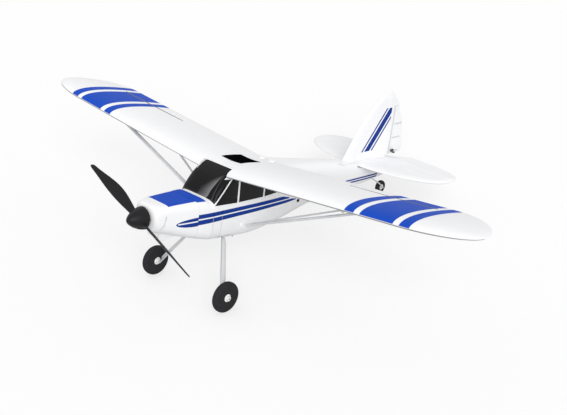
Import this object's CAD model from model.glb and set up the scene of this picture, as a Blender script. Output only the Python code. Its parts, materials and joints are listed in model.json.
import json
import math

import bmesh
import bpy
import numpy as np
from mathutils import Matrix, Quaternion, Vector


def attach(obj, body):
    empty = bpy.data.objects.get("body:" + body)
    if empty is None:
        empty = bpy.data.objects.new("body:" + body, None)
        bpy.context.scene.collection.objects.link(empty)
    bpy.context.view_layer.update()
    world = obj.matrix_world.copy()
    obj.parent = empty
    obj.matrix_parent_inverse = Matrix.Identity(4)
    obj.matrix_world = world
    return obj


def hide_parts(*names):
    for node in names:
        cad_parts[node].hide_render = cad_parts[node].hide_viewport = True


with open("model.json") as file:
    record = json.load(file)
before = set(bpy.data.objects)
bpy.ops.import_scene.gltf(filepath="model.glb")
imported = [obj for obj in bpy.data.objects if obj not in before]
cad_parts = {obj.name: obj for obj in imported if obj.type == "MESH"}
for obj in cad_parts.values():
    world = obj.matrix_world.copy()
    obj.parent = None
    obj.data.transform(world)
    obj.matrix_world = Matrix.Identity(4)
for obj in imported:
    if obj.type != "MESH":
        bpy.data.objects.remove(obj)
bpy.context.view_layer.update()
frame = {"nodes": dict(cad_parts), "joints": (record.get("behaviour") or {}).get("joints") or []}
scene = bpy.context.scene

# Camera: a long lens well in front of the left wing, looking down on the aircraft as it stands.
# Its place was fitted to the wing tips, wheels, propeller and tail of the photograph.
camera_at = (0.545735, -0.592739, 0.450500)
camera_turn = math.radians(42.653)
camera_dip = math.radians(27.093)
camera_roll = math.radians(0.40)
look = Vector((
    -math.sin(camera_turn) * math.cos(camera_dip),
    math.cos(camera_turn) * math.cos(camera_dip),
    -math.sin(camera_dip),
))
camera = bpy.data.objects.new("camera", bpy.data.cameras.new("camera"))
camera.data.lens = 59.9
camera.data.sensor_width = 36
camera.location = camera_at
camera.rotation_mode = "QUATERNION"
camera.rotation_quaternion = look.to_track_quat("-Z", "Y") @ Quaternion((0, 0, 1), camera_roll)
scene.collection.objects.link(camera)
scene.camera = camera
scene.view_settings.view_transform = "Standard"


# Studio: a wide white sweep, an even white surround and one large soft lamp high in front on the left.
# The lamp gives the pale foam its shading and the floor a faint shadow under the wheels.
class Shade:
    """One output socket of a node tree. Arithmetic on it adds Math nodes to that tree."""

    def __init__(self, tree, socket):
        self.tree = tree
        self.socket = socket

    def node(self, kind, inputs=None, out=0, **settings):
        made = self.tree.nodes.new(kind)
        for name, value in settings.items():
            setattr(made, name, value)
        for name, value in (inputs or {}).items():
            if isinstance(value, Shade):
                self.tree.links.new(value.socket, made.inputs[name])
            else:
                made.inputs[name].default_value = value
        return Shade(self.tree, made.outputs[out])

    def math(self, operation, *values, clamp=False):
        return self.node("ShaderNodeMath", dict(enumerate(values)), operation=operation, use_clamp=clamp)

    def __add__(self, other):
        return self.math("ADD", self, other)

    def __radd__(self, other):
        return self.math("ADD", other, self)

    def __sub__(self, other):
        return self.math("SUBTRACT", self, other)

    def __rsub__(self, other):
        return self.math("SUBTRACT", other, self)

    def __mul__(self, other):
        return self.math("MULTIPLY", self, other)

    def __truediv__(self, other):
        return self.math("DIVIDE", self, other)

    def __pow__(self, other):
        return self.math("POWER", self, other)

    def __abs__(self):
        return self.math("ABSOLUTE", self)

    def least(self, other):
        return self.math("MINIMUM", self, other)

    def most(self, other):
        return self.math("MAXIMUM", self, other)

    def root(self):
        return self.math("SQRT", self)

    def over(self, edge, soft=0.25):
        """1 where this value is over the edge and 0 below it, blended over the soft width."""
        return self.math("ADD", (self - edge) / soft, 0.5, clamp=True)

    def within(self, low, high, soft=0.25):
        return self.over(low, soft) * (1 - self.over(high, soft))

    def mix(self, low, high):
        """Colour between two others, with this value as the share of the second."""
        return self.node("ShaderNodeMix", {0: self, 6: low, 7: high}, out=2, data_type="RGBA")

    def split(self):
        parts = self.node("ShaderNodeSeparateXYZ", {"Vector": self})
        return [Shade(self.tree, parts.socket.node.outputs[i]) for i in range(3)]


def srgb(red, green, blue):
    """Linear colour of 0 to 255 screen values."""
    share = [v / 255 for v in (red, green, blue)]
    return (*(v / 12.92 if v <= 0.04045 else ((v + 0.055) / 1.055) ** 2.4 for v in share), 1)


def seen_rays(tree):
    """1 for rays from the camera, a mirror or glass, and 0 for those that only light other things."""
    path = tree.nodes.new("ShaderNodeLightPath").outputs
    kinds = ("Camera", "Glossy", "Transmission")
    straight, glossy, through = [Shade(tree, path[f"Is {kind} Ray"]) for kind in kinds]
    return straight.most(glossy).most(through)


surround = 0.74
lamp_power = 1.5
lamp_to = Vector((-0.64, 0.56, -0.53))
world = bpy.data.worlds.new("surround")
world.use_nodes = True
scene.world = world
sky = world.node_tree
background = sky.nodes["Background"]
background.inputs["Color"].default_value = (1, 1, 1, 1)
strength = surround + seen_rays(sky) * (1 - surround)
sky.links.new(strength.socket, background.inputs["Strength"])

lamp = bpy.data.objects.new("lamp", bpy.data.lights.new("lamp", "SUN"))
lamp.data.energy = lamp_power
lamp.data.angle = math.radians(35)
lamp.rotation_mode = "QUATERNION"
lamp.rotation_quaternion = lamp_to.to_track_quat("-Z", "Y")
scene.collection.objects.link(lamp)

floor_half = 6.0
floor_lit = (0.60, 0.60, 0.60, 1)
floor_white = (0.98, 0.98, 0.98, 1)
floor_glow = 0.6
floor_mesh = bpy.data.meshes.new("floor")
floor_mesh.from_pydata(
    [(x * floor_half, y * floor_half, 0) for x, y in ((-1, -1), (1, -1), (1, 1), (-1, 1))],
    [], [(0, 1, 2, 3)],
)
floor = bpy.data.objects.new("floor", floor_mesh)
scene.collection.objects.link(floor)
floor_paint = bpy.data.materials.new("floor")
floor_paint.use_nodes = True
floor_tree = floor_paint.node_tree
matt = floor_tree.nodes["Principled BSDF"]
matt.inputs["Roughness"].default_value = 0.9
matt.inputs["Specular IOR Level"].default_value = 0
shown = seen_rays(floor_tree)
white = shown.node("ShaderNodeEmission", {"Color": (1, 1, 1, 1), "Strength": 1.0})
floor_tree.links.new(shown.mix(floor_lit, floor_white).socket, matt.inputs["Base Color"])
sweep = shown.node("ShaderNodeMixShader", {0: shown * floor_glow, 1: Shade(floor_tree, matt.outputs[0]), 2: white})
floor_tree.links.new(sweep.socket, floor_tree.nodes["Material Output"].inputs["Surface"])
floor_mesh.materials.append(floor_paint)

# Fuselage: one foam moulding of two glued halves, with square cabin shoulders and a slim tail boom.
# The wing lies in a seat on its back, the equipment bay opens under the wing and through the belly hatch.
# All forms are built level, in millimetres from the wing's leading edge, and set down nose up on the wheels.
joints = {j["name"]: j for j in frame["joints"]}
rudder_up = Vector(joints["rudder_hinge"]["axis"])
nose_up = math.atan2(rudder_up.y, rudder_up.z)
tail_len = 260.0
stab_z = -20.0
elevator_y = tail_len - 2
hinge_row = Vector(joints["elevator_hinge"]["pos_m"])
turn = np.array([
    [1, 0, 0],
    [0, math.cos(nose_up), math.sin(nose_up)],
    [0, -math.sin(nose_up), math.cos(nose_up)],
])
shift = np.array(hinge_row) * 1000 - turn @ np.array([0, elevator_y, stab_z])
shift[0] = 0


def solid(name, points, faces):
    """Closed mesh object from level points in millimetres, its faces turned outward."""
    mesh = bpy.data.meshes.new(name)
    row = (np.asarray(points, float) @ turn.T + shift) / 1000
    mesh.from_pydata(row.tolist(), [], [list(f) for f in faces])
    shape = bmesh.new()
    shape.from_mesh(mesh)
    bmesh.ops.recalc_face_normals(shape, faces=shape.faces)
    shape.to_mesh(mesh)
    shape.free()
    obj = bpy.data.objects.new(name, mesh)
    scene.collection.objects.link(obj)
    return obj


def loft(name, rings):
    """Closed solid through rings of equally many points."""
    rings = np.asarray(rings, float)
    count, around = rings.shape[:2]
    faces = [(i * around + j, i * around + (j + 1) % around,
              (i + 1) * around + (j + 1) % around, (i + 1) * around + j)
             for i in range(count - 1) for j in range(around)]
    faces += [range(around), range((count - 1) * around, count * around)]
    return solid(name, rings.reshape(-1, 3), faces)


def prism(outline, low, high, axis=0):
    """Outline pushed along one axis; its points give the two other coordinates in order."""
    rings = [np.insert(np.asarray(outline, float), axis, level, axis=1) for level in (low, high)]
    return loft("prism", rings)


def rectangle(low, high):
    """Corners in y and z of the box between two points."""
    return [(low[1], low[2]), (high[1], low[2]), (high[1], high[2]), (low[1], high[2])]


def box(low, high):
    return prism(rectangle(low, high), low[0], high[0])


def bar(start, end, radius, sides=40):
    """Round bar between two level points."""
    start, end = np.array(start, float), np.array(end, float)
    along = (end - start) / np.linalg.norm(end - start)
    side = np.cross(along, [0, 0, 1] if abs(along[2]) < 0.9 else [1, 0, 0])
    side /= np.linalg.norm(side)
    other = np.cross(along, side)
    a = 2 * np.pi * (np.arange(sides) + 0.5) / sides
    ring = radius * (np.outer(np.cos(a), side) + np.outer(np.sin(a), other))
    return loft("bar", [start + ring, end + ring])


def carve(obj, operation, *tools):
    """Applies boolean tools to obj and takes the tools away."""
    for tool in tools:
        cut = obj.modifiers.new("cut", "BOOLEAN")
        cut.solver = "MANIFOLD"
        cut.operation = operation
        cut.object = tool
    shaped = bpy.data.meshes.new_from_object(obj.evaluated_get(bpy.context.evaluated_depsgraph_get()))
    obj.modifiers.clear()
    obj.data = shaped
    for tool in tools:
        bpy.data.objects.remove(tool)
    return obj


def dress(obj, name, material, body, slot, *replaced, crease=28):
    """Names and paints a finished piece, and sets it in the frame."""
    obj.name = name
    obj.data.name = name
    obj.data.materials.clear()
    obj.data.materials.append(material)
    obj.data.shade_smooth()
    obj.data.set_sharp_from_angle(angle=math.radians(crease))
    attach(obj, body)
    if replaced:
        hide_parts(*replaced)


def new_paint(name):
    """New material, with the level place of each point in millimetres."""
    material = bpy.data.materials.new(name)
    material.use_nodes = True
    tree = material.node_tree
    place = Shade(tree, tree.nodes.new("ShaderNodeTexCoord").outputs["Object"])
    return material, place.node("ShaderNodeMapping", {
        "Vector": place,
        "Location": tuple(shift / 1000),
        "Rotation": (-nose_up, 0, 0),
        "Scale": (0.001, 0.001, 0.001),
    }, vector_type="TEXTURE")


def finish(material, **inputs):
    """Sets inputs of the material's surface, with _ for a space in their names."""
    surface = material.node_tree.nodes["Principled BSDF"]
    for name, value in inputs.items():
        socket = surface.inputs[name.replace("_", " ")]
        if isinstance(value, Shade):
            material.node_tree.links.new(value.socket, socket)
        else:
            socket.default_value = value
    return material


foam_light = srgb(251, 251, 252)
foam_dark = srgb(242, 243, 245)
bright_blue = srgb(28, 81, 195), srgb(24, 73, 186)
navy_blue = srgb(26, 62, 148), srgb(22, 54, 134)
gap_grey = srgb(118, 118, 121), srgb(104, 104, 108)
groove_grey = srgb(216, 216, 218), srgb(206, 206, 209)


def foam(name, marks=None):
    """White bead foam, with the marks that a function of the level place gives as masks and their inks."""
    material, place = new_paint(name)
    cloud = place.node("ShaderNodeTexNoise", {"Vector": place, "Scale": 0.06, "Detail": 3.0})
    grain = place.node("ShaderNodeTexNoise", {"Vector": place, "Scale": 2.2, "Detail": 2.0})
    beads = place.node("ShaderNodeTexVoronoi", {"Vector": place, "Scale": 0.42}, feature="DISTANCE_TO_EDGE")
    seams = 1 - (beads / 0.09).least(1.0)
    colour = (cloud * 0.5 + seams * 0.35).mix(foam_light, foam_dark)
    rough = 0.62 + grain * 0.14
    for mark, (light, dark) in marks(*place.split()) if marks else ():
        colour = mark.mix(colour, (cloud * 0.7 + grain * 0.3).mix(light, dark))
        rough = rough - mark * 0.14
    height = grain * 0.4 - seams * 0.6
    bump = place.node("ShaderNodeBump", {"Height": height, "Strength": 0.16, "Distance": 0.00025})
    return finish(material, Base_Color=colour, Roughness=rough, Normal=bump, Specular_IOR_Level=0.07)


seam_y = -31.0
sill_y = -16.0
roof_y = 8.6
roof_z = 8.7
cowl_drop = 13.4
body_end = 255.5
chord = 76.0
half_w = 21.5
dihedral = math.radians(5.5)
tongue_half, tongue_back = 17.1, 8.9


def aft(share):
    """Place along the tail boom, from the wing's trailing edge to the body's end."""
    return chord + (body_end - chord) * share


def slope_z(y):
    """Height of the slanted screen at y."""
    return -cowl_drop + (y - sill_y) * (roof_z + cowl_drop) / (roof_y - sill_y)


def smooth(stations, steps):
    """Smooth run of stations through the given ones."""
    given = [np.array(s, float) for s in stations]
    run = []
    for i in range(len(given) - 1):
        a, b, c, d = given[max(0, i - 1)], given[i], given[i + 1], given[min(len(given) - 1, i + 2)]
        for t in np.arange(steps) / steps:
            run.append(0.5 * (2 * b + (c - a) * t + (2 * a - 5 * b + 4 * c - d) * t**2
                              + (3 * b - a - 3 * c + d) * t**3))
    return run + [given[-1]]


def body_ring(station, grow=0.0, sides=160):
    """Rounded box section at a station of y, half width, top, bottom, squareness below and above."""
    y, wide, top, low, below, above = station
    a = 2 * np.pi * (np.arange(sides) + 0.5) / sides
    e = np.where(np.cos(a) > 0, 2 / above, 2 / below)
    x = (wide + grow) * np.sign(np.sin(a)) * np.abs(np.sin(a))**e
    z = (top + low) / 2 + ((top - low) / 2 + grow) * np.sign(np.cos(a)) * np.abs(np.cos(a))**e
    return np.column_stack([x, np.full(sides, y), z])


rake_y = (sill_y + roof_y) / 2
screen_bow = 3.6
body_run = smooth([
    (seam_y, 20.3, -13.4, -48.4, 3.8, 6), (seam_y + 8, 21, -13.4, -50.6, 4, 5.6),
    (sill_y, 21.4, -13.4, -52.4, 4, 5),
    (sill_y + 4, half_w, slope_z(sill_y + 4) + 0.65 * screen_bow, -53.1, 4.2, 5.4),
    (rake_y, half_w, slope_z(rake_y) + screen_bow, -54.2, 4.3, 7), (roof_y, half_w, roof_z, -55.6, 4.4, 9),
    (16, half_w, roof_z, -56.2, 4.4, 9), (40, half_w, roof_z - 0.6, -57, 4.4, 9),
    (64, 20.7, 3.8, -54.8, 4.2, 7), (aft(0.06), 19.5, 0.9, -51.4, 3.8, 5),
    (aft(0.26), 16.2, -3.7, -45.8, 3.3, 3.6), (aft(0.49), 12.2, -9.6, -43.2, 3, 3),
    (aft(0.63), 9.9, -14, -42.6, 2.9, 2.9), (aft(0.72), 8.6, -17.4, -42.2, 2.8, 2.8),
    (aft(0.86), 6.6, -18.6, -40.6, 2.8, 2.8), (aft(1), 4.7, -19, -38, 2.8, 2.8),
], 10)


def body_part(first, last, grow=0.0):
    """Stretch of the body from one y to another, grown by a given amount."""
    return loft("body_part", [body_ring(s, grow) for s in body_run if first <= s[0] <= last])


def wing_seat():
    """Room that the wing's flat underside and the cabin roof's notch leave."""
    reach = 2 * half_w
    rise = reach * math.tan(dihedral)
    seat = prism([(0, 0), (reach, rise), (reach, 40), (-reach, 40), (-reach, rise)], -3, chord + 0.1, axis=1)
    return carve(seat, "DIFFERENCE", box((-tongue_half, -10, -5), (tongue_half, tongue_back, 60)))


hatch_half, hatch_front, hatch_back, hatch_top = 13, 17, 54, -50.5
hatch_pin_z, hatch_nose_r = -54.6, 1.5


def hatch_block(gap):
    """Room of the belly hatch with its round front edge, grown by a gap."""
    wide = hatch_half + gap
    block = box((-wide, hatch_front, -114), (wide, hatch_back + gap, hatch_top + gap))
    nose = bar((-wide, hatch_front, hatch_pin_z), (wide, hatch_front, hatch_pin_z), hatch_nose_r + 1.9 * gap)
    return carve(block, "UNION", nose)


def side_stripes(y, z):
    """Twin stripes of the body side, their rear ends cut slanted, and the short pair of the tail."""
    run = y + 32
    upper_top = (-24.2 - run * 0.016).least(-26.2 - (y - 75) * 0.22)
    upper = z.over(-28.1 - run * 0.012) * (1 - z.over(upper_top))
    lower_top = (-29.3 - run * 0.009).least(-30.7 - (y - 89) * 0.2)
    lower = z.over(-33.6 + run * 0.003 + (y - 80).most(0) * 0.04) * (1 - z.over(lower_top))
    front = (upper * y.within(-40, 84) + lower * y.within(-40, 95.5)).least(1.0)
    tail_top = -30.5 - (y - 177.5) * 0.036
    pair = z.within(tail_top - 1.7, tail_top) * (y + z).over(146.0)
    pair = pair + z.within(tail_top - 4.4, tail_top - 2.7) * y.over(186)
    return front.most(pair * y.within(175, 240))


panel_low, panel_side, panel_back = -19, 16.2, -21.6
groove_at, groove_half, groove_low, groove_high = (-14.7, -4.2), 0.25, -50, -24


def body_marks(x, y, z):
    """Rear part of the blue nose panel, the two grooves and the stripes, which the grooves cut below."""
    panel = (1 - abs(x).over(panel_side + (y - seam_y) * 0.12)) * (1 - y.over(panel_back)) * z.over(panel_low)
    front, rear = [y.within(at - groove_half, at + groove_half) for at in groove_at]
    grooves = (front + rear) * z.within(groove_low, groove_high)
    stripes = side_stripes(y, z) * (1 - grooves * (1 - z.over(-29)))
    return [(panel, bright_blue), (grooves, groove_grey), (stripes, navy_blue)]


def panel_line(y):
    """Fine groove moulded across both body sides below the windows."""
    slab = box((-30, y - groove_half, groove_low), (30, y + groove_half, groove_high))
    return carve(slab, "DIFFERENCE", body_part(y - 12, y + 12, -0.5))


fuselage = loft("fuselage", [body_ring(s) for s in body_run])
swing_gap = 0.45
both = (1, -1)
bay_rooms = (box((-13, 14, -20.5), (13, 64, 40)), box((-11, 14, -38), (11, 64, 22)),
             box((-12, 20, -50.6), (12, 53, -39)))
gear_room = box((-18.5, -4.1, -114), (18.5, 12.1, -49.5))
drive_room = box((-12.8, -40, -40.8), (12.8, -29.9, -15.2))
strut_rooms = [box((x, 23.2, -46.9), (x + 7.6, 40.4, -40.7)) for x in (15.4, -23.0)]
tail_room = box((-half_w, 201.24, -22.1), (half_w, 460, 20))
rod_rooms = [bar((x, 62, z), (x, end, z), 1.4) for x, z, end in ((-6.1, -27.6, 264), (7.6, -13.4, 266))]
carve(fuselage, "DIFFERENCE", wing_seat(), hatch_block(swing_gap), *bay_rooms, gear_room, drive_room, *strut_rooms,
      tail_room, *[panel_line(y) for y in groove_at], *rod_rooms)
dress(fuselage, "fuselage_shell", foam("fuselage_foam", body_marks), "airframe", "foam", "fuselage")

# Belly hatch: a lid cut from the same foam moulding, which closes the battery's bay from below.
# It swings down on a wire pin through its round front edge.
hatch = carve(body_part(10, 62), "INTERSECT", hatch_block(0))
dress(hatch, "hatch_lid", foam("hatch_foam"), "battery_hatch", "foam", "battery_hatch")


def paint_nodes(material, *names):
    """Gives CAD pieces that stay as they are a material."""
    for name in names:
        paints = frame["nodes"][name].data.materials
        paints.clear()
        paints.append(material)


def metal(name, light, dark, rough):
    """Bare metal with fine drawn lines and a slight stain."""
    material, place = new_paint(name)
    stain = place.node("ShaderNodeTexNoise", {"Vector": place, "Scale": 0.3, "Detail": 3.0})
    lines = place.node("ShaderNodeTexNoise", {"Vector": place, "Scale": 5.0, "Detail": 2.0})
    bump = place.node("ShaderNodeBump", {"Height": lines, "Strength": 0.1, "Distance": 0.0001})
    return finish(material, Base_Color=stain.mix(light, dark), Roughness=rough + lines * 0.15, Normal=bump,
                  Metallic=1.0)


steel = metal("steel", srgb(205, 206, 208), srgb(176, 178, 181), 0.25)
paint_nodes(steel, "hatch_pin")

# Cowl: a hollow foam nose piece with a chin scoop, pushed on in front of the body seam.
# Its blue panel and stripe points do not quite line up with those of the body.
thrust_z = -25.0
cowl_run = smooth([
    (-72.5, 11.2, -16, -34.2, 2.6, 3), (-71.3, 13, -14.2, -36, 2.8, 3.6), (-67.5, 14.6, -13.4, -37.6, 3, 4.8),
    (-56.5, 16.8, -13.2, -40.6, 3.3, 6), (-43.5, 18.9, -13.3, -44.8, 3.6, 6),
    (seam_y - 0.3, 20.3, -13.4, -48.4, 3.8, 6),
], 10)
scoop_front = -61.0
scoop = prism([(scoop_front, -34), (scoop_front - 0.6, -45), (scoop_front + 2.4, -46.6), (-45, -44.6),
               (-39, -41), (-39, -34)], -8, 8)
cowl = loft("cowl", [body_ring(s) for s in cowl_run])
carve(cowl, "UNION", scoop)
hollow_rings = [body_ring(s, -1.6) for s in cowl_run]
hollow = loft("hollow", [*hollow_rings, hollow_rings[-1] + (0, 4, 0)])
carve(hollow, "INTERSECT", box((-30, -70.9, -90), (30, 0, 90)))
lip = [(-63.0, -21.0), (-63.2, -24.0), (-63.7, -28.4), (-64.9, -31.0), (-66.8, -33.2)]
lip_groove = prism(lip + [(y - 0.55, z) for y, z in lip[::-1]], -30, 30)
carve(lip_groove, "DIFFERENCE", loft("inner", [body_ring(s, -0.4) for s in cowl_run]))
scoop_mouth = box((-6.2, scoop_front - 4, -43.8), (6.2, scoop_front + 1.6, -39.6))
shaft_hole = bar((0, -80, thrust_z), (0, -66, thrust_z), 4.5)
carve(cowl, "DIFFERENCE", hollow, lip_groove, scoop_mouth, shaft_hole)


def cowl_marks(x, y, z):
    """Front part of the blue panel, the rounded point of the twin stripes and the shade of the lip's groove."""
    panel = (1 - abs(x).over(13.3 + (y + 58.8) * 0.055)) * y.over(-60.0) * z.over(panel_low)
    run = (1 - ((seam_y - y) / 22.3).most(0).least(1.0) ** 2).root()
    point = (z + 30).over(run * -4.2) * (1 - (z + 30).over(run * 3.7)) * y.over(-53.3)
    line = (z + 29.9).within(-0.55, 0.55) * y.over(-51.5)
    arc = y + 63.3 + (-21 - z).most(0) ** 2 * 0.0255
    shade = arc.within(-0.4, 0.4) * z.within(-33.2, -21)
    return [(panel, bright_blue), (point * (1 - line), navy_blue), (shade, groove_grey)]


dress(cowl, "cowl_shell", foam("cowl_foam", cowl_marks), "airframe", "foam", "cowl")

# Windows: thin black glossy panels stuck on the foam, a screen that wraps round to the front pillars
# and three panes on each side under the wing.
glass_low = -20.6
glass_front = -18.8
glass_top = 2.4
screen_foot = np.array((-15.0, -17.4))
screen_head = np.array((roof_y - 8, slope_z(roof_y - 8) - 1.1))
pillar = 2.1
pane_rise = (screen_head - screen_foot) / (screen_head[1] - screen_foot[1])
pane_foot = screen_foot + (pillar, 0) + pane_rise * (glass_front - screen_foot[1])
pane_head = pane_foot + pane_rise * (glass_top - glass_front)
b_pillar, c_pillar, quarter = 13.2, 46.0, 64.0


def stuck_panel(first, last, *outlines):
    """Panel 0.3 mm thick on the body, within outlines of y and z."""
    panes = [carve(body_part(first, last, 0.32), "INTERSECT", prism(o, -30, 30)) for o in outlines]
    whole = panes[0]
    if panes[1:]:
        carve(whole, "UNION", *panes[1:])
    return carve(whole, "DIFFERENCE", body_part(first - 4, last + 4, 0.02), wing_seat())


def panel_paint(name, tone, rough, gloss, sheen=None):
    """Black film, a little wavy and dusty, with the printed grey sheen that a function of the place gives."""
    material, place = new_paint(name)
    cloud = place.node("ShaderNodeTexNoise", {"Vector": place, "Scale": 0.09, "Detail": 2.0})
    grain = place.node("ShaderNodeTexNoise", {"Vector": place, "Scale": 3.0, "Detail": 2.0})
    bump = place.node("ShaderNodeBump", {"Height": cloud + grain * 0.1, "Strength": 0.12, "Distance": 0.0006})
    colour = cloud.mix(srgb(tone, tone, tone + 2), srgb(tone + 8, tone + 8, tone + 10))
    if sheen:
        colour = sheen(*place.split()).mix(colour, srgb(126, 126, 127))
    return finish(material, Base_Color=colour, Roughness=rough + grain * 0.08, Normal=bump,
                  Specular_IOR_Level=gloss)


def screen_sheen(x, y, z):
    """Fan of light across the screen from its left upper corner, sharp at the pillar and fading inwards."""
    aside, down = 14.6 - abs(x), (1.5 - y).most(0.01)
    lean = aside / down
    fan = lean.over(0.16, 0.03) * (1 - ((lean - 0.16) / 0.95).most(0).least(1.0)) ** 1.6
    streak = lean.within(-0.2, -0.12, 0.05) * 0.2
    return (fan * (down / 9).least(1.0) + streak) * x.over(0.0)


black_panel = panel_paint("black_panel", 10, 0.22, 0.14)
screen_film = panel_paint("screen_film", 10, 0.22, 0.14, screen_sheen)
screen = stuck_panel(-20, 9, [
    (sill_y - 1.6, -cowl_drop + 0.6), tuple(screen_foot), tuple(screen_head), (roof_y - 0.6, roof_z - 2.9),
    (roof_y - 0.6, 13), (sill_y - 1.6, 13),
])
dress(screen, "screen_panel", screen_film, "airframe", "black_panel", "windshield")
front_pane = [tuple(pane_foot), tuple(pane_head), (b_pillar - 2, glass_top), (b_pillar - 1.2, glass_low + 0.3)]
door_pane = [(b_pillar + 0.4, glass_top), (c_pillar - 2, glass_top), (c_pillar - 1.2, glass_low),
             (b_pillar + 1.2, glass_low + 0.3)]
rear_pane = [(c_pillar + 0.4, glass_top), (quarter - 4, glass_top), (quarter + 3, (glass_top + glass_low) / 2),
             (quarter, glass_low + 0.8), (c_pillar + 1.2, glass_low)]
panes = stuck_panel(-20, 74, front_pane, door_pane, rear_pane)
dress(panes, "side_panes", black_panel, "airframe", "black_panel", "side_windows")

# Wing: one foam moulding with a flat underside, dihedral and round tips, notched for the cabin roof.
# Carbon rods lie in slots of its underside, and a servo sits in a pocket of each half.
semi = 250.0
tip_len = 55.0
tip_apex = 29.6
wing_t = 9.5
te_t = 1.2
nose_z = 2.2
crown = 10.0
thin_from, thin_run, thin_share = 30, 150, 0.25


def foil_top(u):
    """Height of the root's top skin at a share of the chord."""
    hump = 10 * (0.2969 * np.sqrt(u) - 0.126 * u - 0.3516 * u**2 + 0.2843 * u**3 - 0.1036 * u**4)
    return nose_z * (1 - u)**3 + te_t * u + (wing_t - 0.27 * nose_z - 0.35 * te_t) * hump


def foil_bottom(u):
    """Height of the underside, flat behind the round nose."""
    v = np.maximum(0, 1 - u / 0.14)
    return nose_z * (1 - np.sqrt(1 - v**2))


def thinned(x):
    """Share of the root's thickness that is left at x, as the wing gets thinner outwards."""
    t = min(1, max(0, (abs(x) - thin_from) / thin_run))
    return 1 - thin_share * t * t * (3 - 2 * t)


def wing_ring(x, steps=44):
    """Section at x, from the trailing edge over the top to the nose and back along the underside."""
    s = max(0, abs(x) - semi + tip_len) / tip_len
    k = max(0.04, math.sqrt(max(0, 1 - s * s)))
    u = (1 - np.cos(np.pi * np.arange(steps + 1) / steps)) / 2
    y = tip_apex * (1 - k) + chord * k * u
    low = abs(x) * math.tan(dihedral)
    high = math.hypot(x, crown) * math.tan(dihedral) if abs(x) < 60 else low
    h = k * thinned(x)
    skin = low + (high - low) * u[::-1]**0.3 + h * foil_top(u[::-1])
    top = np.column_stack([np.full(steps + 1, x), y[::-1], skin])
    under = np.column_stack([np.full(steps, x), y[1:], low + h * foil_bottom(u[1:])])
    return np.vstack([top, under])


tip_turns = np.radians(np.linspace(0, 90, 40))
tip_x = semi - tip_len + tip_len * np.sin(tip_turns)
half_x = np.concatenate([np.arange(0, 20, 2.0), np.arange(20, 195, 5.0), tip_x])
wing = loft("wing", [wing_ring(x) for x in (*-half_x[:0:-1], *half_x)])
aileron_in, aileron_len, aileron_y = 105.0, 88.0, 58.5
aileron_r = foil_top(aileron_y / chord) * math.cos(dihedral) / 2


def on_panel(points, side):
    """Points of a wing half's own frame, x along it and z square to its underside, in the level frame."""
    p = np.asarray(points, float)
    x = p[:, 0] * math.cos(dihedral) - p[:, 2] * math.sin(dihedral)
    z = p[:, 0] * math.sin(dihedral) + p[:, 2] * math.cos(dihedral)
    return np.column_stack([side * x, p[:, 1], z])


def panel_box(side, low, high):
    """Box in a wing half's own frame."""
    ends = [[(x, y, z) for y, z in rectangle(low, high)] for x in (low[0], high[0])]
    return loft("panel_box", [on_panel(end, side) for end in ends])


def panel_bar(side, low_x, high_x, y, z, radius):
    """Round bar along a wing half."""
    a = 2 * np.pi * np.arange(64) / 64
    ring = np.column_stack([0 * a, y + radius * np.cos(a), z + radius * np.sin(a)])
    return loft("panel_bar", [on_panel(ring + (x, 0, 0), side) for x in (low_x, high_x)])


servo_x, servo_y, pocket_top = aileron_in + 22, 22.0, aileron_r + 3.35
start, end = aileron_in - swing_gap, aileron_in + aileron_len + swing_gap
for side in both:
    carve(wing, "DIFFERENCE",
          panel_box(side, (start, aileron_y, -10), (end, chord + 5, 16)),
          panel_bar(side, start, end, aileron_y, aileron_r, aileron_r + swing_gap),
          panel_box(side, (0.2, 34.9, -1), (192.6, 37.1, 2.3)),
          panel_box(side, (servo_x - 13.1, servo_y - 11.1, -6), (servo_x - 0.7, servo_y + 4.1, pocket_top)),
          panel_box(side, (servo_x - 4.1, servo_y - 14.1, -6), (servo_x - 2.9, servo_y + 7.1, pocket_top)),
          panel_box(side, (servo_x - 0.8, servo_y - 5.2, -6), (servo_x + 2.8, servo_y + 5.2, pocket_top)))
notch_half = tongue_half + 0.1
carve(wing, "DIFFERENCE", box((-notch_half, -3, -4), (notch_half, tongue_back + 0.1, 30)))
seam_grey = srgb(158, 158, 161), srgb(142, 142, 146)


def wing_marks(x, y, z):
    """Three bands across the top of each half, and the grey mould seam along the leading edge."""
    place = abs(x)
    bands = place.within(144.3, 153.2) + place.within(158.8, 189.6) + place.within(195, 204)
    height = z - place * math.tan(dihedral)
    bands = bands * height.over((2.6 - y * 0.25).most(0.5), 0.4)
    round_off = 1 - (1 - ((place - semi + tip_len) / tip_len).most(0).least(1.0) ** 2).root()
    behind = y - round_off * tip_apex
    seam = (1 - behind.over(1.1, 0.5)) * (1 - height.over(2.3 - round_off * 2.0, 0.5))
    return [(bands, bright_blue), (seam, seam_grey)]


def carbon_paint():
    """Dark pultruded rod with fine strands."""
    material, place = new_paint("carbon_rod")
    strands = place.node("ShaderNodeTexNoise", {"Vector": place, "Scale": 1.2, "Detail": 4.0})
    bump = place.node("ShaderNodeBump", {"Height": strands, "Strength": 0.2, "Distance": 0.0001})
    return finish(material, Base_Color=strands.mix(srgb(38, 38, 40), srgb(56, 56, 59)),
                  Roughness=0.35 + strands * 0.2, Normal=bump)


dress(wing, "wing_shell", foam("wing_foam", wing_marks), "airframe", "foam", "wing")
paint_nodes(carbon_paint(), "wing_spars")

# Skylight: a panel of the same black film, cut to a rectangle.
# It is stuck on top of the wing's middle, over the cabin.
across, along = np.linspace(-12, 12, 25), np.linspace(21.5, 46.5, 26)


def wing_top(x, y):
    """Height of the wing's top skin near its middle."""
    low, high = abs(x) * math.tan(dihedral), math.hypot(x, crown) * math.tan(dihedral)
    return low + (high - low) * (y / chord)**0.3 + foil_top(y / chord)


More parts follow.
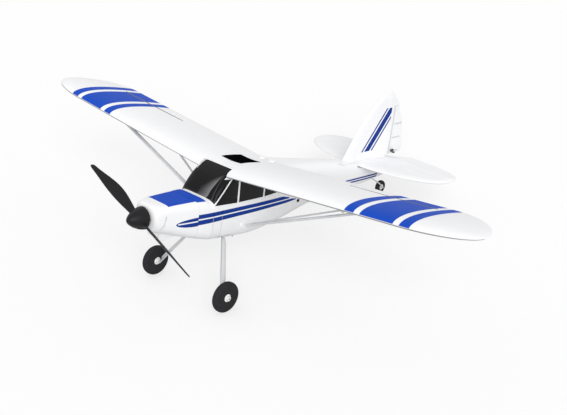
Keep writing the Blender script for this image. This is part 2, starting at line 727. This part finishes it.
rings = []
for y in along:
    over = [(x, y, wing_top(x, y) + 0.32) for x in across]
    under = [(x, y, wing_top(x, y) + 0.02) for x in across[::-1]]
    rings.append(over + under)
roof_film = panel_paint("roof_panel", 4, 0.5, 0.0)
dress(loft("skylight", rings), "skylight_panel", roof_film, "airframe", "black_panel", "skylight")

# Ailerons: foam strips cut from the wing, their round noses turning in coves on three small hinges.
# The bare noses are grey from handling, so the hinge line shows as a dark gap.
hinge_half, hinge_ahead, hinge_behind, leaf_half = 2.5, 7, 1.5, 1.45


def aileron_marks(x, y, z):
    return wing_marks(x, y, z) + [(1 - y.over(aileron_y - 0.1), gap_grey)]


aileron_foam = foam("aileron_foam", aileron_marks)
for name, side in (("left_aileron", 1), ("right_aileron", -1)):
    a = np.linspace(-np.pi / 2, -3 * np.pi / 2, 40)
    nose = np.column_stack([aileron_y + aileron_r * np.cos(a), aileron_r + aileron_r * np.sin(a)])
    y = np.linspace(aileron_y, chord, 24)[1:]
    top = np.column_stack([y, foil_top(y / chord) * math.cos(dihedral)])
    section = np.vstack([nose, top, [(chord, 0)]])
    inner, outer = aileron_in, aileron_in + aileron_len
    rings = []
    for x in (inner, *np.linspace(inner + 0.4, outer - 0.4, 14), outer):
        middle = np.array((aileron_y + 6, aileron_r))
        scaled = section if inner < x < outer else middle + (section - middle) * (0.995, 0.94)
        rings.append(on_panel(np.column_stack([np.full(len(scaled), x), scaled * (1, thinned(x))]), side))
    piece = loft(name, rings)
    carve(piece, "DIFFERENCE", *[
        panel_box(side, (aileron_in + x - hinge_half, aileron_y - hinge_ahead, aileron_r - leaf_half),
                  (aileron_in + x + hinge_half, aileron_y + hinge_behind, aileron_r + 1.02))
        for x in (12, aileron_len / 2, aileron_len - 12)])
    dress(piece, name + "_foam", aileron_foam, name, "foam", name)

# Stabiliser and elevator: a flat foam tail plane with a round leading edge, hinged across at its rear.
# The elevator is one piece, notched in the middle for the rudder.
stab_half, stab_front, stab_back, stab_r = 86.5, 47.5, 32.0, 2.0
stab_mid = tail_len - 8


def plate_half(u):
    """Share of the thickness along a flat surface: round nose, level middle, tapered back."""
    nose = np.sqrt(np.maximum(0, 1 - (1 - u / 0.2)**2))
    return np.where(u < 0.2, nose, np.where(u < 0.66, 1, 1 - 0.65 * (u - 0.66) / 0.34))


plate_u = np.concatenate([0.2 * (1 - np.cos(np.linspace(0, np.pi / 2, 14))), np.linspace(0.24, 1, 20)])


def plate_ring(front, back, half):
    """Closed outline of a flat surface's section, as chordwise place and height."""
    at = front + (back - front) * plate_u
    high = half * plate_half(plate_u)
    return np.vstack([np.column_stack([at[::-1], high[::-1]]), np.column_stack([at[1:], -high[1:]])])


def stab_skin():
    rings = []
    for a in np.radians(np.linspace(-88.6, 88.6, 90)):
        s = abs(math.sin(a))
        back = stab_mid + stab_back * (1 - s**3.2)**(1 / 3.2)
        flat = plate_ring(stab_mid - stab_front * math.cos(a), back, stab_r * min(1, 3 * math.cos(a)))
        x = np.full(len(flat), stab_half * math.sin(a))
        rings.append(np.column_stack([x, flat[:, 0], stab_z + flat[:, 1]]))
    return loft("stab_skin", rings)


elevator_end = stab_half - 5


def elevator_room(reach):
    """Room behind the hinge line, as far as the elevator reaches to each side."""
    return box((-reach, elevator_y, stab_z - 5), (reach, elevator_y + 60, stab_z + 5))


def elevator_nose(reach, radius):
    return bar((-reach, elevator_y, stab_z), (reach, elevator_y, stab_z), radius)


stabiliser = stab_skin()
carve(stabiliser, "DIFFERENCE", elevator_room(elevator_end + swing_gap),
      elevator_nose(elevator_end + swing_gap, stab_r + swing_gap))
tail_foam = foam("tail_foam")
dress(stabiliser, "stabiliser_foam", tail_foam, "airframe", "foam", "stabiliser")

elevator = carve(stab_skin(), "INTERSECT", elevator_room(elevator_end))
carve(elevator, "UNION", elevator_nose(elevator_end, stab_r))
flare = 3 + math.tan(math.radians(30)) * 60
notch = [(-3, elevator_y + 4), (3, elevator_y + 4), (flare, elevator_y + 64), (-flare, elevator_y + 64)]
carve(elevator, "DIFFERENCE", prism(notch, stab_z - 5, stab_z + 5, axis=2),
      *[box((s * x - hinge_half, elevator_y - hinge_ahead, stab_z - leaf_half),
            (s * x + hinge_half, elevator_y + hinge_behind, stab_z + leaf_half)) for s in both for x in (22, 62)])
dress(elevator, "elevator_foam", tail_foam, "elevator", "foam", "elevator")

# Fin and rudder: upright foam surfaces, the fin glued in a slot of the deck and carrying slanted stripes.
# The rudder has moulded ribs across it and hangs on three hinges.
fin_low, fin_top, fin_r = -17.9, 53.6, 2.2
fin_peak = tail_len - 9
rudder_low, rudder_top = -15.5, 36.5


def fin_skin():
    rings = []
    for t in np.linspace(0, 1, 70):
        s = 0.999 * math.sin(t * np.pi / 2)
        front = fin_peak - 71 * (1 - s)**0.58
        back = fin_peak + 32.45 * (1 - s * s)**0.75
        flat = plate_ring(front, back, fin_r * min(1, 2.2 * math.sqrt(1 - s * s)))
        z = np.full(len(flat), fin_low + (fin_top - fin_low) * s)
        rings.append(np.column_stack([flat[:, 1], flat[:, 0], z]))
    return loft("fin_skin", [rings[0] - (0, 0, 0.8), *rings])


fin = fin_skin()
carve(fin, "DIFFERENCE",
      box((-5, tail_len, -120), (5, tail_len + 60, rudder_top + swing_gap)),
      bar((0, tail_len, -120), (0, tail_len, rudder_top + swing_gap), fin_r + swing_gap),
      box((-5, elevator_y - 4, fin_low - 5), (5, elevator_y + 46, rudder_low)))


def fin_marks(x, y, z):
    """Three slanted stripes, a wide one between two thin ones, cut off level at both ends."""
    lean = math.radians(52)
    across = (y - 233) * math.sin(lean) - (z - 8) * math.cos(lean)
    bands = across.within(-8.6, -6.6) + across.within(-4.6, 2.2) + across.within(4.2, 6.2)
    return [(bands * z.within(-7.5, 36) * (1 - y.over(253.5)), navy_blue)]


dress(fin, "fin_foam", foam("fin_foam", fin_marks), "airframe", "foam", "fin")

rudder = carve(fin_skin(), "INTERSECT", box((-5, tail_len, rudder_low), (5, tail_len + 60, rudder_top)))
carve(rudder, "UNION", bar((0, tail_len, rudder_low), (0, tail_len, rudder_top), fin_r))
carve(rudder, "DIFFERENCE",
      *[box((-leaf_half, tail_len - hinge_ahead, z - hinge_half),
            (leaf_half, tail_len + hinge_behind, z + hinge_half)) for z in (-4, 12, 28)])


def rudder_marks(x, y, z):
    return [(1 - y.over(tail_len - 0.1), groove_grey)]


def rib_marks(x, y, z):
    return [(y.over(tail_len), groove_grey)]


dress(rudder, "rudder_foam", foam("rudder_foam", rudder_marks), "rudder", "foam", "rudder")
rib_foam = foam("rib_foam", rib_marks)

rib_low, rib_step, rib_count = -13.0, 15.15, 3
rib_run = np.linspace(tail_len + 2.2, tail_len + 16, 12)
rib_half = 2.45 - 0.045 * (rib_run - rib_run[0])
rib_outline = np.vstack([np.column_stack([rib_half, rib_run]), np.column_stack([-rib_half, rib_run])[::-1]])
rib_edges = (0.92, -0.45), (1, -0.25), (1, 0.25), (0.92, 0.45)
rib = loft("rib", [np.column_stack([rib_outline * (share, 1), np.full(len(rib_outline), rib_low + z)])
                   for share, z in rib_edges])


def row_tree(name):
    """Node tree that sets a straight row of copies of one shape."""
    tree = bpy.data.node_groups.new(name, "GeometryNodeTree")
    for label, kind in (("Shape", "Object"), ("Count", "Int"), ("Step", "Vector"), ("Paint", "Material")):
        tree.interface.new_socket(label, in_out="INPUT", socket_type="NodeSocket" + kind)
    tree.interface.new_socket("Mesh", in_out="OUTPUT", socket_type="NodeSocketGeometry")
    shape, count, step, paint = [Shade(tree, o) for o in tree.nodes.new("NodeGroupInput").outputs[:4]]
    points = shape.node("GeometryNodeMeshLine", {"Count": count, "Offset": step}, mode="OFFSET")
    copy = shape.node("GeometryNodeObjectInfo", {"Object": shape}, out="Geometry")
    row = shape.node("GeometryNodeInstanceOnPoints", {"Points": points, "Instance": copy})
    real = shape.node("GeometryNodeRealizeInstances", {"Geometry": row})
    painted = shape.node("GeometryNodeSetMaterial", {"Geometry": real, "Material": paint})
    tree.links.new(painted.socket, tree.nodes.new("NodeGroupOutput").inputs[0])
    return tree


def grown(tree, **sizes):
    """Plain mesh object that a node tree makes of its inputs; the shape that it copies is taken away."""
    obj = bpy.data.objects.new(tree.name, bpy.data.meshes.new(tree.name))
    scene.collection.objects.link(obj)
    rule = obj.modifiers.new("rule", "NODES")
    rule.node_group = tree
    for item in tree.interface.items_tree:
        if item.in_out == "INPUT":
            rule[item.identifier] = sizes[item.name]
    made = bpy.data.meshes.new_from_object(obj.evaluated_get(bpy.context.evaluated_depsgraph_get()))
    obj.modifiers.clear()
    obj.data = made
    bpy.data.objects.remove(sizes["Shape"])
    return obj


rib_up = (turn @ np.array([0, 0, rib_step]) / 1000).tolist()
ribs = grown(row_tree("rudder_ribs"), Shape=rib, Count=rib_count, Step=rib_up, Paint=rib_foam)
dress(ribs, "rudder_ribs", rib_foam, "rudder", "foam")

# Propeller and spinner: a two-bladed moulding of dark plastic on a steel shaft, under a slotted cone.
# They turn with the shaft and the large gear behind the cowl's front.
spinner_y, spinner_d, spinner_len = -75.1, 19.6, 16.48
hub_len = 8.0
prop_r, blade_root, prop_pitch = 70.5, 2.6, 330.0
blade_tilt = math.radians(157.5)
blade_chord, blade_swell, tip_taper, tip_round = 5, 5.4, 1.5, 0.94


def blade(flip):
    """One twisted blade, wide in the middle, tapered outwards and with a round tip."""
    rings = []
    for t in np.linspace(0, 1, 60):
        out = math.sin(t * np.pi / 2)
        r = blade_root + (prop_r - blade_root) * out
        wide = blade_chord + blade_swell * math.sin(np.pi * out**0.87)**2
        wide -= tip_taper * max(0, r / prop_r - 0.6)**1.5 / 0.4**1.5
        wide *= math.sqrt(max(0.02, 1 - max(0, (r / prop_r - tip_round) / (1 - tip_round))**2))
        thick = 2.6 - 1.7 * t
        b = min(math.radians(50), math.atan(prop_pitch / (2 * np.pi * max(r, 6))))
        a = 2 * np.pi * np.arange(40) / 40
        p = wide / 2 * np.cos(a) + 0.22 * (wide - blade_chord)
        q = thick / 2 * np.sin(a) * np.where(np.sin(a) < 0, 0.8, 1.0)
        u, y, v = p * math.cos(b) - q * math.sin(b), p * math.sin(b) + q * math.cos(b), np.full(40, r)
        angle = np.pi / 2 - blade_tilt + flip
        x = u * math.cos(angle) + v * math.sin(angle)
        z = -u * math.sin(angle) + v * math.cos(angle)
        rings.append(np.column_stack([x, y + spinner_y - hub_len / 2, z + thrust_z]))
    return loft("blade", rings)


propeller = blade(0)
carve(propeller, "UNION", blade(np.pi), bar((0, spinner_y - hub_len, thrust_z), (0, spinner_y, thrust_z), 4))


def plastic(name, light, dark, rough=0.35, grain_size=1.5, gloss=0.4):
    """Moulded plastic with a slight mottle and a fine orange-peel surface."""
    material, place = new_paint(name)
    cloud = place.node("ShaderNodeTexNoise", {"Vector": place, "Scale": 0.15, "Detail": 3.0})
    grain = place.node("ShaderNodeTexNoise", {"Vector": place, "Scale": grain_size, "Detail": 3.0})
    bump = place.node("ShaderNodeBump", {"Height": grain, "Strength": 0.15, "Distance": 0.0002})
    return finish(material, Base_Color=cloud.mix(light, dark), Roughness=rough + grain * 0.15, Normal=bump,
                  Specular_IOR_Level=gloss)


black_plastic = plastic("black_plastic", srgb(32, 32, 34), srgb(24, 24, 26), gloss=0.16)


def square_to(axis):
    """Two directions square to an axis and to each other."""
    side = np.cross(axis, [0.3, 0.2, 0.93])
    side /= np.linalg.norm(side)
    return side, np.cross(axis, side)


def turned(name, profile, centre, axis, sides=96):
    """Solid turned about an axis through centre, from (radius, height) points along the axis."""
    centre, axis = np.array(centre, float), np.array(axis, float)
    side, other = square_to(axis)
    a = 2 * np.pi * np.arange(sides) / sides
    out = np.outer(np.cos(a), side) + np.outer(np.sin(a), other)
    return loft(name, [centre + axis * h + out * r for r, h in profile])


def cone_profile(inset):
    """Outline of the spinner, or of a smaller cone inside it."""
    a = np.linspace(0, np.pi / 2, 40)
    wide, long = spinner_d / 2 - inset, spinner_len - inset * 1.6
    return [(max(0.02, wide * math.cos(v)**1.3), long * math.sin(v)**1.3) for v in a]


ahead = (0, -1, 0)
spinner = turned("spinner", cone_profile(0), (0, spinner_y, thrust_z), ahead)


def hub_slot(share, front):
    """Block through the spinner in line with the blades, at a share of the slot's full size."""
    cos, sin = share * math.cos(blade_tilt), share * math.sin(blade_tilt)
    long, high = spinner_d, slot_half
    outline = [(u * cos - v * sin, thrust_z + u * sin + v * cos)
               for u, v in ((-long, -high), (long, -high), (long, high), (-long, high))]
    return prism(outline, front, spinner_y + 1, axis=1)


slot_half = 4.5
saddle = turned("saddle", cone_profile(0.4), (0, spinner_y - 0.1, thrust_z), ahead)
carve(saddle, "INTERSECT", hub_slot(0.95, spinner_y - hub_len))
carve(propeller, "UNION", saddle)
dress(propeller, "propeller_blades", black_plastic, "propeller", "black_plastic", "propeller", crease=50)
inside = turned("inside", cone_profile(1.2), (0, spinner_y + 0.01, thrust_z), ahead)
carve(spinner, "DIFFERENCE", inside, hub_slot(1, spinner_y - hub_len - 0.2))
dress(spinner, "spinner_cone", black_plastic, "propeller", "black_plastic", "spinner", crease=40)

# Wheels: soft dark foam tyres pushed on small white nylon hubs.
# The hubs turn on the ends of the wire legs, and the tail wheel on its own bent wire.
track, wheel_d, wheel_w, hub_d = 91.8, 28.0, 6.5, 7.0
axle_ahead, axle_drop = 15.4, 93.7
tail_d, tail_w, tail_axle = 14.0, 4.5, (0, tail_len - 2, -53)


def tyre_profile(d, w, hub):
    """Outline of a tyre with round shoulders and a lip at the hub, as (radius, height) points."""
    shoulder = w * 0.3
    a = np.linspace(-np.pi / 2, np.pi / 2, 25)
    outer = [(d / 2 - shoulder + shoulder * math.cos(v), w / 2 * math.sin(v)) for v in a]
    inner = [(hub / 2 + 0.5, w / 2 - 0.15), (hub / 2 + 0.1, w / 2 - 0.5), (hub / 2, w / 2 - 1)]
    return [(r, -h) for r, h in inner[::-1]] + outer + inner


def ring_solid(name, profile, centre, axis, sides=96):
    """Ring turned about an axis, from a closed outline of (radius, height) points."""
    centre, axis = np.array(centre, float), np.array(axis, float)
    side, other = square_to(axis)
    points, n = [], len(profile)
    for a in 2 * np.pi * np.arange(sides) / sides:
        out = math.cos(a) * side + math.sin(a) * other
        points += [centre + axis * h + out * r for r, h in profile]
    faces = [(i * n + j, i * n + (j + 1) % n, ((i + 1) % sides) * n + (j + 1) % n, ((i + 1) % sides) * n + j)
             for i in range(sides) for j in range(n)]
    return solid(name, points, faces)


def tyre_paint():
    """Dark cellular foam rubber."""
    material, place = new_paint("tyre")
    cells = place.node("ShaderNodeTexVoronoi", {"Vector": place, "Scale": 1.6})
    grain = place.node("ShaderNodeTexNoise", {"Vector": place, "Scale": 0.5, "Detail": 4.0})
    bump = place.node("ShaderNodeBump", {"Height": cells, "Strength": 0.3, "Distance": 0.0003})
    return finish(material, Base_Color=(grain * 0.7 + cells * 0.3).mix(srgb(40, 40, 42), srgb(54, 54, 56)),
                  Roughness=0.78 + grain * 0.15, Normal=bump, Specular_IOR_Level=0.08)


tyre = tyre_paint()
white_plastic = plastic("white_plastic", srgb(250, 250, 249), srgb(242, 242, 241), gloss=0.25)
for name, centre, d, w, hub, bore in (
        ("left_wheel", (track / 2, -axle_ahead, -axle_drop), wheel_d, wheel_w, hub_d, 1.9),
        ("right_wheel", (-track / 2, -axle_ahead, -axle_drop), wheel_d, wheel_w, hub_d, 1.9),
        ("tail_wheel", tail_axle, tail_d, tail_w, hub_d * 0.85, 1.54)):
    rubber = ring_solid(name, tyre_profile(d, w, hub), centre, (1, 0, 0))
    dress(rubber, name + "_tyre", tyre, name, "wheel", crease=40)
    r, h, b = hub / 2, w / 2 - 0.3, bore / 2
    face = [(b, h), (r - 0.2, h), (r + 0.05, h - 0.2)]
    disc = ring_solid(name, [(out, -high) for out, high in face] + face[::-1], centre, (1, 0, 0), sides=64)
    dress(disc, name + "_hub", white_plastic, name, "white_plastic", name, crease=40)
paint_nodes(white_plastic, "wheel_collars")
paint_nodes(steel, "tail_wheel_wire")

# Struts: slim bars of grey moulded plastic, a stout front one and a thin rear one on each side.
# Their feet have pins in blocks in the body sides, and their pads are screwed to the wing's underside.
grey_plastic = plastic("grey_plastic", srgb(226, 227, 229), srgb(213, 215, 218), rough=0.4, gloss=0.3)
paint_nodes(white_plastic, "strut_fittings")
pad_t, strut_foot_z = 1.0, -43.8


def strut(side, foot_y, head_x, head_y, pad_x, chord_d, thick):
    """Bar of oval section from the body to the wing, with its foot pin and its rounded pad."""
    foot = np.array((half_w + 1.6, foot_y, strut_foot_z))
    head = np.array((head_x * math.cos(dihedral), head_y, head_x * math.sin(dihedral)))
    along = (head - foot) / np.linalg.norm(head - foot)
    wide = np.array((0, 1, 0)) - along * along[1]
    wide /= np.linalg.norm(wide)
    flat = np.cross(along, wide)
    a = 2 * np.pi * np.arange(32) / 32
    across, through = np.outer(np.cos(a), wide) * chord_d / 2, np.outer(np.sin(a), flat) * thick / 2
    rings = [foot + (head - foot) * t + across * (0.7 + 0.3 * min(1, 10 * t)) + through
             for t in np.linspace(0, 1, 24)]
    v = 2 * np.pi * (np.arange(48) + 0.5) / 48
    pad_ring = np.column_stack([pad_x + 4.5 * np.sign(np.cos(v)) * np.abs(np.cos(v))**0.35,
                                head_y + 3 * np.sign(np.sin(v)) * np.abs(np.sin(v))**0.35, 0 * v])
    pad = loft("pad", [on_panel(pad_ring + (0, 0, z), side) for z in (-pad_t, -0.02)])
    piece = loft("strut", [ring * (side, 1, 1) for ring in rings])
    pin = bar((side * (half_w - 5), foot_y, strut_foot_z), (side * (half_w + 1.8), foot_y, strut_foot_z), 0.6)
    carve(piece, "UNION", pad, pin)
    return carve(piece, "DIFFERENCE", panel_box(side, (0, 0, -0.02), (semi, chord, 30)))


strut_foot_y, pad_x, pad_y = (26.4, 34.2), (159.0, 152.0), (15.0, 53.0)
for name, side in (("left_struts", 1), ("right_struts", -1)):
    front = strut(side, strut_foot_y[0], pad_x[0] - 4, pad_y[0], pad_x[0], 4.4, 2.2)
    rear = strut(side, strut_foot_y[1], pad_x[1] - 2, pad_y[1], pad_x[1], 2.4, 1.6)
    carve(front, "UNION", rear)
    dress(front, name + "_bars", grey_plastic, "airframe", "grey_plastic", name, crease=50)

# Undercarriage: a grey block under the belly clamps two bent steel wires, which carry the wheels.
# A flat plastic fairing is pushed on each leg, so that only the axle end of the wire is bare.
paint_nodes(grey_plastic, "gear_block")
paint_nodes(steel, "left_gear_wire", "right_gear_wire")
leg_plastic = plastic("leg_plastic", srgb(212, 213, 215), srgb(198, 200, 203), rough=0.45, gloss=0.3)
leg_top = np.array((15.6, 4.5, -51.6))
leg_foot = np.array((track / 2 - wheel_w / 2 - 2.6, -axle_ahead, -axle_drop))
fairing_start, fairing_end = 0.04, 0.92
a = 2 * np.pi * np.arange(36) / 36
for name, side in (("left_fairing", 1), ("right_fairing", -1)):
    rings = []
    for t in np.linspace(fairing_start, fairing_end, 24):
        middle = leg_top + (leg_foot - leg_top) * t + (0.8 + 1.1 * t, 1.1, 0)
        end = min(1, 0.55 + 8 * (t - fairing_start), 0.55 + 8 * (fairing_end - t))
        x = middle[0] + end * (1.45 + 0.55 * t) * np.cos(a)
        y = middle[1] + end * 2.1 * np.sin(a)
        rings.append(np.column_stack([side * x, y, np.full(36, middle[2])]))
    replaced = ("leg_fairings",) if side == 1 else ()
    dress(loft(name, rings), name, leg_plastic, "airframe", "grey_plastic", *replaced, crease=60)

# Pad screws: two small steel screws with round heads through each strut pad into the wing.
# They are one row of copies on each pad.
screw_head = [(1.05, 0), (1.05, 0.25), (0.85, 0.5), (0.5, 0.62), (0.02, 0.66)]
screw_step = 2.4
for hand, side in (("left", 1), ("right", -1)):
    for end, x, y in zip(("front", "rear"), pad_x, pad_y):
        place, down = on_panel([(x + 0.6, y, -pad_t + 0.05), (0, 0, -1)], side)
        head = turned("screw", screw_head, place, down, sides=24)
        step = (turn @ on_panel([(screw_step, 0, 0)], side)[0] / 1000).tolist()
        label = f"{hand}_{end}_pad_screws"
        screws = grown(row_tree(label), Shape=head, Count=2, Step=step, Paint=steel)
        dress(screws, label, steel, "airframe", "steel")

# Linkages and drive: moulded nylon horns, servo arms, hinges and wing screws, with rods from arms to horns.
# The steel motor and shaft run with brass bushes, a brass pinion and a nylon spur gear.
brass = metal("brass", srgb(214, 182, 104), srgb(184, 148, 76), 0.28)
paint_nodes(brass, "motor_pinion", "shaft_bushes")
paint_nodes(steel, "motor", "prop_shaft", "left_aileron_rod", "right_aileron_rod")
paint_nodes(grey_plastic, "wing_peg")
paint_nodes(black_plastic, "rudder_horn")
paint_nodes(white_plastic, "wing_screws", "spur_gear", "elevator_rod", "rudder_rod",
            "aileron_hinges", "elevator_hinges", "rudder_hinges",
            "left_aileron_horn", "right_aileron_horn", "elevator_horn",
            "left_aileron_arm", "right_aileron_arm", "elevator_servo_arm", "rudder_servo_arm")

# Equipment: blue servo cases, the plywood tray, the receiver's board and the wrapped battery in the bay.
# The motor's frame and the peg behind the cabin are moulded of black plastic.
paint_nodes(black_plastic, "gearbox_frame", "side_peg")
servo_case = plastic("servo_case", srgb(60, 92, 150), srgb(44, 74, 128), rough=0.3)
paint_nodes(servo_case, "left_aileron_servo", "right_aileron_servo", "elevator_servo", "rudder_servo")
battery_wrap = plastic("battery_wrap", srgb(58, 62, 70), srgb(44, 47, 54), rough=0.25)
paint_nodes(battery_wrap, "battery")
circuit = plastic("circuit_board", srgb(30, 96, 58), srgb(22, 78, 46), rough=0.3, grain_size=0.8)
paint_nodes(circuit, "receiver_board")


def plywood_paint():
    """Birch plywood with wavy rings and its layers on edge."""
    material, place = new_paint("plywood")
    z = place.split()[2]
    rings = place.node("ShaderNodeTexWave", {"Vector": place, "Scale": 0.35, "Distortion": 6.0, "Detail": 3.0})
    layers = z.math("PINGPONG", z * 1.6, 1.0)
    bump = place.node("ShaderNodeBump", {"Height": rings, "Strength": 0.2, "Distance": 0.0002})
    colour = (rings * 0.7 + layers * 0.3).mix(srgb(214, 188, 142), srgb(184, 152, 104))
    return finish(material, Base_Color=colour, Roughness=0.6 + rings * 0.15, Normal=bump)


paint_nodes(plywood_paint(), "servo_tray")
